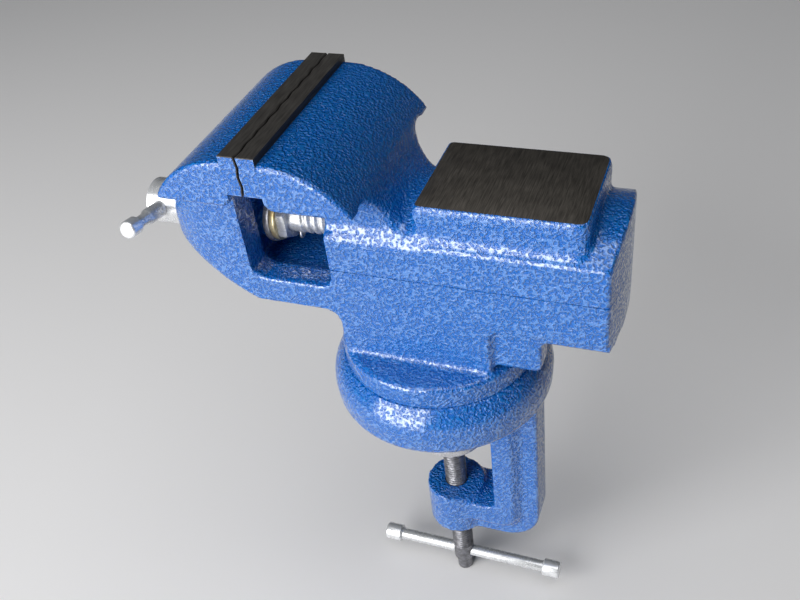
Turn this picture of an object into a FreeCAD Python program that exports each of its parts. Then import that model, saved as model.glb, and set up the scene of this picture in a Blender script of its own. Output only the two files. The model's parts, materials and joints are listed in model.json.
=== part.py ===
import FreeCAD, Part
import math
import os

from FreeCAD import Vector

# Small swivel bench vise that clamps to a table edge.
# Origin: centre of the base underside, on the swivel axis. +Z up, +X towards the anvil, -Y near side.

# Jaws
JAW_WIDTH = 60.0
FRONT_JAW_REACH = 23.2
REAR_JAW_REACH = 24.8
JAW_DEPTH = 13.9
JAW_TIP_BLUNT = 0.9
JAW_SEAT_TO_SWIVEL = 43.9
JAW_HEEL_RADIUS = 2.5
WING_DROP = 3.0

# Serrated jaw plates
PLATE_THICKNESS = 5.0
PLATE_HEIGHT = 12.0
PLATE_PROUD = 2.1
PLATE_GAP = 0.5
TOOTH_DEPTH = 0.9
TEETH_ALONG = 17
TEETH_UP = 4

# Heights of the stacked parts
FLANGE_HEIGHT = 16.8
FOOT_THICKNESS = 7.2
PEDESTAL_HEIGHT = 15.3
ARM_THICKNESS = 9.2
BED_HEIGHT = 15.8
SIDE_HEIGHT = 11.7
ARCH_RISE = 6.7
ANVIL_HEIGHT = 23.6
JAW_HEIGHT = 40.0

# Lengths and widths of the two castings
BODY_WIDTH = 38.6
NECK_WIDTH = 33.2
WINDOW_LENGTH = 25.9
WINDOW_TO_SWIVEL = 24.5
WINDOW_FRONT_RADIUS = 4.5
WINDOW_REAR_RADIUS = 3.4
END_TO_SWIVEL = 55.0
END_BULGE = 2.0
NOSE_TO_SWIVEL = 78.0
NOSE_WIDTH = 22.0
NOSE_HEIGHT = 21.0
NOSE_RADIUS = 9.0
NECK_SETBACK = 0.8
NECK_FLARE_RADIUS = 8.0
SADDLE_HEIGHT = 15.0
SADDLE_TO_SWIVEL = 2.0
SADDLE_RADIUS = 4.0
ANVIL_LENGTH = 45.9
ANVIL_TO_SWIVEL = 2.6
ANVIL_DRAFT = 0.6
ANVIL_FILLET = 1.6
ANVIL_CORNER = 2.6
PEDESTAL_FRONT = 23.9
PEDESTAL_REAR = 22.1
PEDESTAL_RADIUS = 4.0
TAIL_STRIP_INSET = 2.0
TAIL_STRIP_RISE = 1.5
TAIL_STRIP_DROP = 1.8
LUG_LENGTH = 14.4
LUG_DROP = 13.3
LUG_RADIUS = 2.0
RECESS_RADIUS = 3.5

# Guide between the two castings
GROOVE_WIDTH = 20.6
GROOVE_FLOOR = 6.2
GROOVE_TO_END = 4.5
GUIDE_CLEARANCE = 0.3
SLOT_WIDTH = 10.6
TONGUE_SETBACK = 6.0
KEEPER_WIDTH = 16.0
KEEPER_THICKNESS = 3.2
KEEPER_INSET = 1.5
CAVITY_CLEARANCE = 1.0
CAVITY_WALL = 4.0
JAW_TRAVEL = 42.0
TRAVEL_SPARE = 1.0

# Main screw and its thrust stack
SCREW_RISE = 3.1
SCREW_DIAMETER = 9.4
SCREW_END_GAP = 3.0
RUNNING_FIT = 0.06
CORE_CLEARANCE = 0.8
HEAD_DIAMETER = 14.2
HEAD_LENGTH = 13.2
HEAD_CHAMFER = 0.8
NOSE_WASHER_THICKNESS = 1.5
NOSE_WASHER_DIAMETER = 17.0
POCKET_DEPTH = 4.2
POCKET_RISE = 13.0
BEARING_BOSS_DIAMETER = 15.0
BEARING_BOSS_PROUD = 0.4
THRUST_WASHER_THICKNESS = 1.8
THRUST_WASHER_DIAMETER = 16.8
BRASS_WASHER_THICKNESS = 1.6
BRASS_WASHER_DIAMETER = 15.6
NUT_THICKNESS = 3.0
NUT_ACROSS_FLATS = 13.0
SPLIT_PIN_DIAMETER = 1.8
SPLIT_PIN_STANDOFF = 1.6
SPLIT_PIN_EYE = 3.6
SPLIT_PIN_TAIL = 2.4
LEAD_NUT_LENGTH = 18.0
LEAD_NUT_DIAMETER = 15.0

# Tommy bar of the main screw
BAR_DIAMETER = 5.0
BAR_NECK_DIAMETER = 3.6
BAR_NECK_LENGTH = 9.3
BAR_LENGTH = 52.0
BAR_OFFSET = -3.2
BAR_TILT_DEGREES = 12.0
BAR_TO_WASHER = 7.6
CAP_DIAMETER = 5.6
CAP_LENGTH = 4.8
CAP_CHAMFER = 0.5

# Jaw plate screws and keeper screws
PLATE_SCREW_DIAMETER = 4.0
PLATE_SCREW_HEAD = 7.0
PLATE_SCREW_HEAD_HEIGHT = 2.4
PLATE_SCREW_LENGTH = 9.0
PLATE_SCREW_SPACING = 35.3
SOCKET_DIAMETER = 2.5
SOCKET_DEPTH = 1.4
HEAD_CLEARANCE = 0.3
KEEPER_SCREW_DIAMETER = 4.0
KEEPER_SCREW_HEAD = 7.0
KEEPER_SCREW_HEAD_HEIGHT = 2.6
KEEPER_SCREW_DEPTH = 9.0
KEEPER_SCREW_SPACING = 14.0

# Swivel
FOOT_OVER_JAWS = 1.2
FOOT_EDGE_RADIUS = 1.4
FLANGE_OVER_FOOT = 8.8
FLANGE_TUCK = 2.5
FLANGE_WAIST_HEIGHT = 5.0
FLANGE_WALL = 5.5
FLANGE_CORE_DEPTH = 9.0
HUB_DIAMETER = 29.0
PIVOT_DIAMETER = 8.0
PIVOT_HEAD_FLATS = 13.0
PIVOT_HEAD_HEIGHT = 5.3
PIVOT_NUT_HEIGHT = 6.0
PIVOT_WASHER_DIAMETER = 18.0
PIVOT_WASHER_THICKNESS = 1.6
PIVOT_RECESS_CLEARANCE = 1.5
PIVOT_RECESS_MARGIN = 1.0

# Table clamp
SPINE_TO_SWIVEL = 16.6
SPINE_DEPTH = 15.2
RAIL_WIDTH = 18.0
RIB_WIDTH = 12.0
RIB_DEPTH = 5.4
RAIL_SLOPE = 3.2
CLAMP_DROP = 71.0
CLAMP_ARM_HEIGHT = 17.0
CLAMP_CORNER_RADIUS = 14.0
CLAMP_THROAT_RADIUS = 3.0
CLAMP_BOSS_DIAMETER = 21.0
CLAMP_BOSS_RISE = 2.0
TABLE_THICKNESS = 24.0
PAD_DIAMETER = 24.0
PAD_THICKNESS = 3.5
PAD_HUB_DIAMETER = 13.0
PAD_HUB_LENGTH = 5.0
PAD_SOCKET_DEPTH = 1.6
CLAMP_SCREW_DIAMETER = 7.8
CLAMP_SPIGOT_DIAMETER = 6.2
CLAMP_SCREW_DROP = 98.6
CLAMP_TIP_DIAMETER = 5.8
CLAMP_TIP_LENGTH = 7.0
CLAMP_BAR_DROP = 95.2
CLAMP_BAR_DIAMETER = 4.4
CLAMP_BAR_LENGTH = 66.0
CLAMP_BAR_OFFSET = 3.0
CLAMP_CAP_DIAMETER = 6.5
CLAMP_CAP_LENGTH = 6.4

OVERRUN = 1.0
BLEND_OVERLAP = 0.2

# Levels and stations worked out from the sizes above
FOOT_TOP = FLANGE_HEIGHT + FOOT_THICKNESS
BED_UNDERSIDE = FOOT_TOP + PEDESTAL_HEIGHT
WINDOW_FLOOR = BED_UNDERSIDE + ARM_THICKNESS
FLOOR_TOP = BED_UNDERSIDE + GROOVE_FLOOR
SEAM = BED_UNDERSIDE + BED_HEIGHT
SHOULDER = SEAM + SIDE_HEIGHT
ARCH_TOP = SHOULDER + ARCH_RISE
ANVIL_TOP = SEAM + ANVIL_HEIGHT
JAW_TOP = SEAM + JAW_HEIGHT
JAW_UNDERSIDE = JAW_TOP - JAW_DEPTH
NECK_MEETS_WING = JAW_UNDERSIDE - WING_DROP
SCREW_AXIS = SEAM + SCREW_RISE
PLATE_TOP = JAW_TOP + PLATE_PROUD
PLATE_BOTTOM = PLATE_TOP - PLATE_HEIGHT

FOOT_DIAMETER = JAW_WIDTH + FOOT_OVER_JAWS
FLANGE_DIAMETER = FOOT_DIAMETER + FLANGE_OVER_FOOT
FLANGE_SEAT_DIAMETER = FLANGE_DIAMETER - 2 * FLANGE_TUCK
FLANGE_CORE_DIAMETER = FLANGE_SEAT_DIAMETER - 2 * FLANGE_WALL

HALF_BODY = BODY_WIDTH / 2
HALF_NECK = NECK_WIDTH / 2
HALF_JAW = JAW_WIDTH / 2
WINDOW_REAR = -WINDOW_TO_SWIVEL
WINDOW_FRONT = WINDOW_REAR - WINDOW_LENGTH
FRONT_SEAT = -JAW_SEAT_TO_SWIVEL
REAR_SEAT = FRONT_SEAT + 2 * PLATE_THICKNESS + PLATE_GAP
FRONT_TIP = FRONT_SEAT - FRONT_JAW_REACH
REAR_TIP = REAR_SEAT + REAR_JAW_REACH
NECK_BACK = REAR_TIP - NECK_SETBACK
NOSE_END = -NOSE_TO_SWIVEL
ANVIL_REAR = ANVIL_TO_SWIVEL + ANVIL_LENGTH
END_TIP = END_TO_SWIVEL + END_BULGE
GROOVE_END = END_TO_SWIVEL - GROOVE_TO_END
POCKET_FACE = WINDOW_FRONT - POCKET_DEPTH
BEARING_FACE = WINDOW_FRONT + BEARING_BOSS_PROUD
SCREW_RADIUS = SCREW_DIAMETER / 2
SCREW_TIP = END_TO_SWIVEL - GROOVE_TO_END - SCREW_END_GAP
NOSE_WASHER_FACE = NOSE_END - NOSE_WASHER_THICKNESS
HEAD_END = NOSE_WASHER_FACE - HEAD_LENGTH
BAR_STATION = NOSE_WASHER_FACE - BAR_TO_WASHER
THRUST_WASHER_END = BEARING_FACE + THRUST_WASHER_THICKNESS
BRASS_WASHER_END = THRUST_WASHER_END + BRASS_WASHER_THICKNESS
NUT_END = BRASS_WASHER_END + NUT_THICKNESS
SPLIT_PIN_STATION = NUT_END + SPLIT_PIN_STANDOFF
TONGUE_FRONT = WINDOW_REAR + TONGUE_SETBACK
TONGUE_REAR = GROOVE_END - JAW_TRAVEL - TRAVEL_SPARE
TONGUE_MIDDLE = (TONGUE_FRONT + TONGUE_REAR) / 2
LEAD_NUT_END = TONGUE_FRONT + LEAD_NUT_LENGTH
KEEPER_TOP = BED_UNDERSIDE - GUIDE_CLEARANCE
CAVITY_WIDTH = KEEPER_WIDTH + 2 * CAVITY_CLEARANCE
SPINE_BACK = SPINE_TO_SWIVEL + SPINE_DEPTH
PAD_UNDERSIDE = -TABLE_THICKNESS - PAD_THICKNESS
CLAMP_THROAT = CLAMP_ARM_HEIGHT - CLAMP_DROP

X_AXIS = Vector(1, 0, 0)
Y_AXIS = Vector(0, 1, 0)
Z_AXIS = Vector(0, 0, 1)


def block(x_low, x_high, y_low, y_high, z_low, z_high):
    corner = Vector(x_low, y_low, z_low)
    return Part.makeBox(x_high - x_low, y_high - y_low, z_high - z_low, corner)


def rod(start, direction, length, diameter):
    return Part.makeCylinder(diameter / 2, length, start, direction)


def rod_x(x_low, x_high, diameter, y=0, z=SCREW_AXIS):
    return rod(Vector(x_low, y, z), X_AXIS, x_high - x_low, diameter)


def rod_z(z_low, z_high, diameter, x=0, y=0):
    return rod(Vector(x, y, z_low), Z_AXIS, z_high - z_low, diameter)


def rounded_wire(corners, place):
    """Closed outline of (u, v, radius) corners joined by tangent arcs; place maps (u, v) to space."""
    count = len(corners)
    starts = []
    middles = []
    ends = []
    for index in range(count):
        u, v, radius = corners[index]
        here = Vector(u, v, 0)
        before = Vector(corners[index - 1][0], corners[index - 1][1], 0) - here
        after = Vector(corners[(index + 1) % count][0], corners[(index + 1) % count][1], 0) - here
        before.normalize()
        after.normalize()
        if radius == 0:
            starts.append(here)
            middles.append(None)
            ends.append(here)
            continue
        half_angle = before.getAngle(after) / 2
        reach = radius / math.tan(half_angle)
        bisector = (before + after).normalize()
        centre = here + bisector * (radius / math.sin(half_angle))
        starts.append(here + before * reach)
        middles.append(centre - bisector * radius)
        ends.append(here + after * reach)
    edges = []
    for index in range(count):
        following = (index + 1) % count
        if middles[index] is not None:
            points = [place(point.x, point.y) for point in (starts[index], middles[index], ends[index])]
            edges.append(Part.Arc(*points).toShape())
        line_start = place(ends[index].x, ends[index].y)
        line_end = place(starts[following].x, starts[following].y)
        edges.append(Part.LineSegment(line_start, line_end).toShape())
    return Part.Wire(edges)


def across(corners, half_width):
    """Side outline of (x, z, radius) corners, extruded across the vise."""
    wire = rounded_wire(corners, lambda x, z: Vector(x, -half_width, z))
    return Part.Face(wire).extrude(Vector(0, 2 * half_width, 0))


def plan_wire(x_low, x_high, half_width, level, rear_radius, front_radius):
    corners = [
        (x_low, -half_width, front_radius),
        (x_high, -half_width, rear_radius),
        (x_high, half_width, rear_radius),
        (x_low, half_width, front_radius),
    ]
    return rounded_wire(corners, lambda x, y: Vector(x, y, level))


def section_wire(station, half_width, z_low, z_high, radius):
    corners = [
        (-half_width, z_low, radius),
        (half_width, z_low, radius),
        (half_width, z_high, radius),
        (-half_width, z_high, radius),
    ]
    return rounded_wire(corners, lambda y, z: Vector(station, y, z))


def chamfered_rod(start, direction, length, diameter, chamfer):
    body = rod(start, direction, length, diameter)
    rims = [edge for edge in body.Edges if isinstance(edge.Curve, Part.Circle)]
    return body.makeChamfer(chamfer, rims)


def hexagon(centre, direction, across_flats, length):
    """Hexagonal prism from its end centre along a direction."""
    radius = across_flats / math.sqrt(3)
    side = X_AXIS if abs(direction.x) < abs(direction.z) else Z_AXIS
    up = direction.cross(side)
    points = []
    for corner in range(7):
        angle = math.radians(60 * corner)
        points.append(centre + side * (radius * math.cos(angle)) + up * (radius * math.sin(angle)))
    return Part.Face(Part.makePolygon(points)).extrude(direction * length)


def join(first, *others):
    return first.fuse(list(others)).removeSplitter()


def end_envelope():
    """Tall drum whose rim gives both castings their crowned rear end."""
    radius = (HALF_BODY ** 2 + END_BULGE ** 2) / (2 * END_BULGE)
    low = -CLAMP_DROP
    return rod_z(low, JAW_TOP + JAW_DEPTH, 2 * radius, x=END_TIP - radius)


def jaw_block(seat, tip):
    """Half-moon jaw: level at the plate seat, arched down to a blunt tip."""
    drop = JAW_DEPTH - JAW_TIP_BLUNT
    reach = abs(tip - seat)
    radius = (reach ** 2 + drop ** 2) / (2 * drop)
    side = 1 if tip > seat else -1
    half_angle = math.asin(reach / radius) / 2
    crown = Vector(seat, -HALF_JAW, JAW_TOP)
    middle_x = seat + side * radius * math.sin(half_angle)
    middle = Vector(middle_x, -HALF_JAW, JAW_TOP - radius + radius * math.cos(half_angle))
    tip_top = Vector(tip, -HALF_JAW, JAW_UNDERSIDE + JAW_TIP_BLUNT)
    tip_low = Vector(tip, -HALF_JAW, JAW_UNDERSIDE)
    heel_x = seat + side * JAW_HEEL_RADIUS
    heel_middle_x = heel_x - side * JAW_HEEL_RADIUS * math.sqrt(0.5)
    heel_middle_z = JAW_UNDERSIDE + JAW_HEEL_RADIUS * (1 - math.sqrt(0.5))
    heel_low = Vector(heel_x, -HALF_JAW, JAW_UNDERSIDE)
    heel_middle = Vector(heel_middle_x, -HALF_JAW, heel_middle_z)
    heel_high = Vector(seat, -HALF_JAW, JAW_UNDERSIDE + JAW_HEEL_RADIUS)
    edges = [
        Part.Arc(crown, middle, tip_top).toShape(),
        Part.LineSegment(tip_top, tip_low).toShape(),
        Part.LineSegment(tip_low, heel_low).toShape(),
        Part.Arc(heel_low, heel_middle, heel_high).toShape(),
        Part.LineSegment(heel_high, crown).toShape(),
    ]
    return Part.Face(Part.Wire(edges)).extrude(Vector(0, JAW_WIDTH, 0))


def wing_taper(x_low, x_high):
    """Sloping underside that carries the front jaw's overhanging ends on the nose."""
    points = [
        Vector(x_low, -HALF_JAW, JAW_UNDERSIDE),
        Vector(x_low, -HALF_NECK, NECK_MEETS_WING),
        Vector(x_low, HALF_NECK, NECK_MEETS_WING),
        Vector(x_low, HALF_JAW, JAW_UNDERSIDE),
    ]
    return Part.Face(Part.makePolygon(points + points[:1])).extrude(Vector(x_high - x_low, 0, 0))


def nose():
    """Bullnose of the front block, lofted from the window back to the screw's bearing face."""
    station_shares = [0, 0.35, 0.72, 1]
    width_shares = [0, 0.05, 0.38, 1]
    low_shares = [0, 0.42, 0.8, 1]
    high_shares = [0, 0, 0.18, 1]
    radius_shares = [0.12, 0.45, 0.85, 1]
    low_end = SCREW_AXIS - NOSE_HEIGHT / 2
    high_end = SCREW_AXIS + NOSE_HEIGHT / 2
    wires = []
    for index in range(len(station_shares)):
        station = WINDOW_FRONT + station_shares[index] * (NOSE_END - WINDOW_FRONT)
        half_width = HALF_BODY + width_shares[index] * (NOSE_WIDTH / 2 - HALF_BODY)
        low = BED_UNDERSIDE + low_shares[index] * (low_end - BED_UNDERSIDE)
        high = JAW_UNDERSIDE + high_shares[index] * (high_end - JAW_UNDERSIDE)
        wires.append(section_wire(station, half_width, low, high, radius_shares[index] * NOSE_RADIUS))
    return Part.makeLoft(wires, True, False)


def bed_body():
    """Front wall, arm under the window, bed and pedestal, cut as one side outline."""
    corners = [
        (WINDOW_FRONT - BLEND_OVERLAP, JAW_UNDERSIDE, 0),
        (WINDOW_FRONT, JAW_UNDERSIDE, 0),
        (WINDOW_FRONT, WINDOW_FLOOR, WINDOW_FRONT_RADIUS),
        (WINDOW_REAR, WINDOW_FLOOR, WINDOW_REAR_RADIUS),
        (WINDOW_REAR, SEAM, 0),
        (END_TIP + OVERRUN, SEAM, 0),
        (END_TIP + OVERRUN, BED_UNDERSIDE + TAIL_STRIP_RISE, 0),
        (PEDESTAL_REAR, BED_UNDERSIDE + TAIL_STRIP_RISE, RECESS_RADIUS),
        (PEDESTAL_REAR, FOOT_TOP, 0),
        (-PEDESTAL_FRONT, FOOT_TOP, 0),
        (-PEDESTAL_FRONT, BED_UNDERSIDE, PEDESTAL_RADIUS),
        (WINDOW_FRONT - BLEND_OVERLAP, BED_UNDERSIDE, 0),
    ]
    return across(corners, HALF_BODY)


def tail_and_lug():
    """Narrower underside of the tail, with the hollow lug behind the pedestal."""
    low = BED_UNDERSIDE - TAIL_STRIP_DROP
    lug_low = BED_UNDERSIDE - LUG_DROP
    corners = [
        (PEDESTAL_REAR - OVERRUN, BED_UNDERSIDE + 2 * TAIL_STRIP_RISE, 0),
        (END_TIP + OVERRUN, BED_UNDERSIDE + 2 * TAIL_STRIP_RISE, 0),
        (END_TIP + OVERRUN, low, 0),
        (PEDESTAL_REAR + LUG_LENGTH, low, LUG_RADIUS),
        (PEDESTAL_REAR + LUG_LENGTH, lug_low, LUG_RADIUS),
        (PEDESTAL_REAR - OVERRUN, lug_low, 0),
    ]
    return across(corners, HALF_BODY - TAIL_STRIP_INSET)


def foot():
    disc = rod_z(FLANGE_HEIGHT, FOOT_TOP, FOOT_DIAMETER)
    middle = (FLANGE_HEIGHT + FOOT_TOP) / 2
    rims = [edge for edge in disc.Edges if isinstance(edge.Curve, Part.Circle)]
    upper_rim = [edge for edge in rims if edge.CenterOfMass.z > middle]
    return disc.makeFillet(FOOT_EDGE_RADIUS, upper_rim)


def keeper_cavity():
    """Room under the bed floor for the keeper, open below behind the lug."""
    half = CAVITY_WIDTH / 2
    lug_end = PEDESTAL_REAR + LUG_LENGTH - CAVITY_WALL
    front = -PEDESTAL_FRONT + CAVITY_WALL
    inner = block(front, PEDESTAL_REAR, -half, half, FOOT_TOP, BED_UNDERSIDE)
    low = FLANGE_HEIGHT - OVERRUN
    behind = block(PEDESTAL_REAR, lug_end, -half, half, BED_UNDERSIDE - LUG_DROP - OVERRUN, BED_UNDERSIDE)
    tail = block(lug_end, GROOVE_END, -half, half, low, BED_UNDERSIDE)
    return inner.fuse([behind, tail])


def plate_screw_places():
    return [-PLATE_SCREW_SPACING / 2, PLATE_SCREW_SPACING / 2]


def plate_screw_level():
    return (PLATE_BOTTOM + JAW_TOP) / 2


def plate_screw_holes(seat, into):
    holes = []
    for place in plate_screw_places():
        start = Vector(seat - into * PLATE_SCREW_LENGTH, place, plate_screw_level())
        if into < 0:
            start = Vector(seat, place, plate_screw_level())
        holes.append(rod(start, X_AXIS, PLATE_SCREW_LENGTH, PLATE_SCREW_DIAMETER))
    return holes


def bed_casting():
    wings = wing_taper(FRONT_TIP + JAW_HEEL_RADIUS, FRONT_SEAT - JAW_HEEL_RADIUS)
    body = join(bed_body(), nose(), tail_and_lug(), foot(), jaw_block(FRONT_SEAT, FRONT_TIP), wings)
    body = body.common(end_envelope())
    half_groove = GROOVE_WIDTH / 2
    half_slot = SLOT_WIDTH / 2
    slot_front = TONGUE_FRONT - GUIDE_CLEARANCE
    pocket_top = SCREW_AXIS + POCKET_RISE
    cuts = [
        block(POCKET_FACE, GROOVE_END, -half_groove, half_groove, FLOOR_TOP, SEAM + OVERRUN),
        block(POCKET_FACE, WINDOW_FRONT + OVERRUN, -half_groove, half_groove, FLOOR_TOP, pocket_top),
        block(slot_front, GROOVE_END, -half_slot, half_slot, BED_UNDERSIDE - OVERRUN, FLOOR_TOP + OVERRUN),
        keeper_cavity(),
        rod_z(FLANGE_HEIGHT - OVERRUN, FOOT_TOP + OVERRUN, PIVOT_DIAMETER + 2 * RUNNING_FIT),
    ]
    cuts = cuts + plate_screw_holes(FRONT_SEAT, 1)
    boss = rod_x(POCKET_FACE, BEARING_FACE, BEARING_BOSS_DIAMETER)
    bore = rod_x(NOSE_END - OVERRUN, BEARING_FACE + OVERRUN, SCREW_DIAMETER + 2 * RUNNING_FIT)
    return join(body.cut(cuts), boss).cut(bore).removeSplitter()


def arched_body():
    """Upper body of the sliding jaw: straight sides under a shallow arch."""
    start = WINDOW_REAR
    points = [
        Vector(start, -HALF_BODY, SEAM),
        Vector(start, HALF_BODY, SEAM),
        Vector(start, HALF_BODY, SHOULDER),
        Vector(start, 0, ARCH_TOP),
        Vector(start, -HALF_BODY, SHOULDER),
    ]
    edges = [
        Part.LineSegment(points[0], points[1]).toShape(),
        Part.LineSegment(points[1], points[2]).toShape(),
        Part.Arc(points[2], points[3], points[4]).toShape(),
        Part.LineSegment(points[4], points[0]).toShape(),
    ]
    length = END_TIP + OVERRUN - start
    return Part.Face(Part.Wire(edges)).extrude(X_AXIS * length)


def neck():
    """Neck that flares out under the rear jaw and runs down to the saddle before the anvil."""
    corners = [
        (WINDOW_REAR, SEAM + SCREW_RISE, 0),
        (WINDOW_REAR, JAW_UNDERSIDE, 0),
        (NECK_BACK - JAW_HEEL_RADIUS, JAW_UNDERSIDE, 0),
        (NECK_BACK - JAW_HEEL_RADIUS, JAW_UNDERSIDE + JAW_TIP_BLUNT, 0),
        (NECK_BACK, JAW_UNDERSIDE + JAW_TIP_BLUNT, 0),
        (-SADDLE_TO_SWIVEL, SEAM + SADDLE_HEIGHT, SADDLE_RADIUS),
        (ANVIL_TO_SWIVEL + ANVIL_FILLET, SEAM + SADDLE_HEIGHT - ANVIL_DRAFT, 0),
        (ANVIL_TO_SWIVEL + ANVIL_FILLET, SEAM + SCREW_RISE, 0),
    ]
    return across(corners, HALF_JAW).common(neck_flare())


def neck_flare():
    """Cross section of the neck, curving out under the wings of the jaw, run the length of the neck."""
    flare_low = JAW_UNDERSIDE - NECK_FLARE_RADIUS
    flare_half = HALF_NECK + NECK_FLARE_RADIUS
    middle_half = flare_half - NECK_FLARE_RADIUS * math.sqrt(0.5)
    middle_level = flare_low + NECK_FLARE_RADIUS * math.sqrt(0.5)
    right = [
        Vector(WINDOW_REAR, HALF_NECK, SEAM),
        Vector(WINDOW_REAR, HALF_NECK, flare_low),
        Vector(WINDOW_REAR, middle_half, middle_level),
        Vector(WINDOW_REAR, flare_half, JAW_UNDERSIDE),
        Vector(WINDOW_REAR, flare_half, JAW_TOP),
    ]
    left = [Vector(point.x, -point.y, point.z) for point in right]
    edges = [
        Part.LineSegment(left[0], right[0]).toShape(),
        Part.LineSegment(right[0], right[1]).toShape(),
        Part.Arc(right[1], right[2], right[3]).toShape(),
        Part.LineSegment(right[3], right[4]).toShape(),
        Part.LineSegment(right[4], left[4]).toShape(),
        Part.LineSegment(left[4], left[3]).toShape(),
        Part.Arc(left[3], left[2], left[1]).toShape(),
        Part.LineSegment(left[1], left[0]).toShape(),
    ]
    return Part.Face(Part.Wire(edges)).extrude(X_AXIS * (ANVIL_REAR - WINDOW_REAR))


def anvil():
    """Anvil block with draft, flared where it meets the arched body."""
    level_shares = [0, 0.1, 0.28, 1]
    flare_shares = [1, 0.42, 0.08, 0]
    base = SHOULDER
    wires = []
    for level_share, flare_share in zip(level_shares, flare_shares):
        level = base + level_share * (ANVIL_TOP - base)
        spread = (1 - level_share) * ANVIL_DRAFT + flare_share * ANVIL_FILLET
        low = ANVIL_TO_SWIVEL - spread
        high = ANVIL_REAR + spread
        half = HALF_NECK + spread
        wires.append(plan_wire(low, high, half, level, ANVIL_CORNER + spread, ANVIL_DRAFT + spread))
    return Part.makeLoft(wires, True, False)


def tongue():
    """Guide tongue in the bed's groove, with its neck through the floor slot."""
    half_groove = GROOVE_WIDTH / 2 - GUIDE_CLEARANCE
    half_slot = SLOT_WIDTH / 2 - GUIDE_CLEARANCE
    low = FLOOR_TOP + GUIDE_CLEARANCE
    wide = block(TONGUE_FRONT, TONGUE_REAR, -half_groove, half_groove, low, SEAM)
    slim = block(TONGUE_FRONT, TONGUE_REAR, -half_slot, half_slot, KEEPER_TOP, low)
    return wide.fuse(slim)


def keeper_screw_places():
    half = KEEPER_SCREW_SPACING / 2
    return [TONGUE_MIDDLE - half, TONGUE_MIDDLE + half]


def sliding_jaw():
    arched = arched_body().common(end_envelope())
    jaw = join(arched, neck(), anvil(), jaw_block(REAR_SEAT, REAR_TIP))
    jaw = join(jaw, tongue())
    core = SCREW_DIAMETER + 2 * CORE_CLEARANCE
    half_core = core / 2
    cuts = [
        rod_x(WINDOW_REAR - OVERRUN, GROOVE_END, core),
        block(TONGUE_REAR, GROOVE_END, -half_core, half_core, SEAM - OVERRUN, SCREW_AXIS),
        rod_x(WINDOW_REAR - OVERRUN, LEAD_NUT_END, LEAD_NUT_DIAMETER),
    ]
    cuts = cuts + plate_screw_holes(REAR_SEAT, -1)
    for place in keeper_screw_places():
        cuts.append(rod_z(KEEPER_TOP, KEEPER_TOP + KEEPER_SCREW_DEPTH, KEEPER_SCREW_DIAMETER, x=place))
    return jaw.cut(cuts).removeSplitter()


def ridge(share):
    """Triangle wave between minus one and one, one half wave per unit."""
    return 1 - 2 * abs(share % 2 - 1)


def tooth_face_x(along, up):
    """Place of the meshing face across the plates at a whole tooth step along and up."""
    wave = ridge(along) + ridge(up)
    return wave * TOOTH_DEPTH / 4


def jaw_plate(seat, side):
    """Serrated plate: a flat back at the seat and a face of four-sided teeth that mesh with its pair."""
    face = seat + side * PLATE_THICKNESS
    step_along = JAW_WIDTH / TEETH_ALONG
    step_up = PLATE_HEIGHT / TEETH_UP
    faces = []

    def front_point(along, up):
        x = face + tooth_face_x(along, up)
        return Vector(x, -HALF_JAW + along * step_along, PLATE_BOTTOM + up * step_up)

    def back_point(along, up):
        return Vector(seat, -HALF_JAW + along * step_along, PLATE_BOTTOM + up * step_up)

    def add(points):
        faces.append(Part.Face(Part.makePolygon(points + points[:1])))

    for along in range(TEETH_ALONG):
        for up in range(TEETH_UP):
            add([front_point(along, up), front_point(along + 1, up),
                 front_point(along + 1, up + 1), front_point(along, up + 1)])
    steps_along = range(TEETH_ALONG + 1)
    steps_up = range(TEETH_UP + 1)
    for up in (0, TEETH_UP):
        add([front_point(along, up) for along in steps_along]
            + [back_point(TEETH_ALONG, up), back_point(0, up)])
    for along in (0, TEETH_ALONG):
        add([front_point(along, up) for up in steps_up]
            + [back_point(along, TEETH_UP), back_point(along, 0)])
    add([back_point(0, 0), back_point(TEETH_ALONG, 0),
         back_point(TEETH_ALONG, TEETH_UP), back_point(0, TEETH_UP)])
    plate = Part.Solid(Part.makeShell(faces))
    if plate.Volume < 0:
        plate.reverse()
    return plate.cut(plate_screw_bores(seat, side))


def head_floor(seat, side):
    """Place of the counterbore floor under a plate screw's head."""
    return seat + side * (PLATE_THICKNESS - TOOTH_DEPTH / 2 - HEAD_CLEARANCE - PLATE_SCREW_HEAD_HEIGHT)


def plate_screw_bores(seat, side):
    floor = head_floor(seat, side)
    direction = X_AXIS * side
    bores = []
    for place in plate_screw_places():
        level = plate_screw_level()
        bores.append(rod(Vector(floor, place, level), direction, PLATE_THICKNESS,
                         PLATE_SCREW_HEAD + 2 * HEAD_CLEARANCE))
        bores.append(rod(Vector(seat, place, level), direction, PLATE_THICKNESS, PLATE_SCREW_DIAMETER))
    return bores


def plate_screws(seat, side):
    floor = head_floor(seat, side)
    direction = X_AXIS * side
    screws = []
    for place in plate_screw_places():
        level = plate_screw_level()
        tip = seat - side * PLATE_SCREW_LENGTH
        top = floor + side * PLATE_SCREW_HEAD_HEIGHT
        shank = rod(Vector(tip, place, level), direction, abs(floor - tip), PLATE_SCREW_DIAMETER)
        head = rod(Vector(floor, place, level), direction, PLATE_SCREW_HEAD_HEIGHT, PLATE_SCREW_HEAD)
        socket_floor = Vector(top - side * SOCKET_DEPTH, place, level)
        socket = hexagon(socket_floor, direction, SOCKET_DIAMETER, SOCKET_DEPTH)
        screws.append(join(shank, head).cut(socket))
    return Part.makeCompound(screws)


def bar_direction():
    tilt = math.radians(BAR_TILT_DEGREES)
    return Vector(0, -math.cos(tilt), math.sin(tilt))


def cross_hole(centre, direction, through, diameter):
    """Drill across a rod of the given diameter."""
    half = through / 2 + OVERRUN
    return rod(centre - direction * half, direction, 2 * half, diameter)


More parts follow.
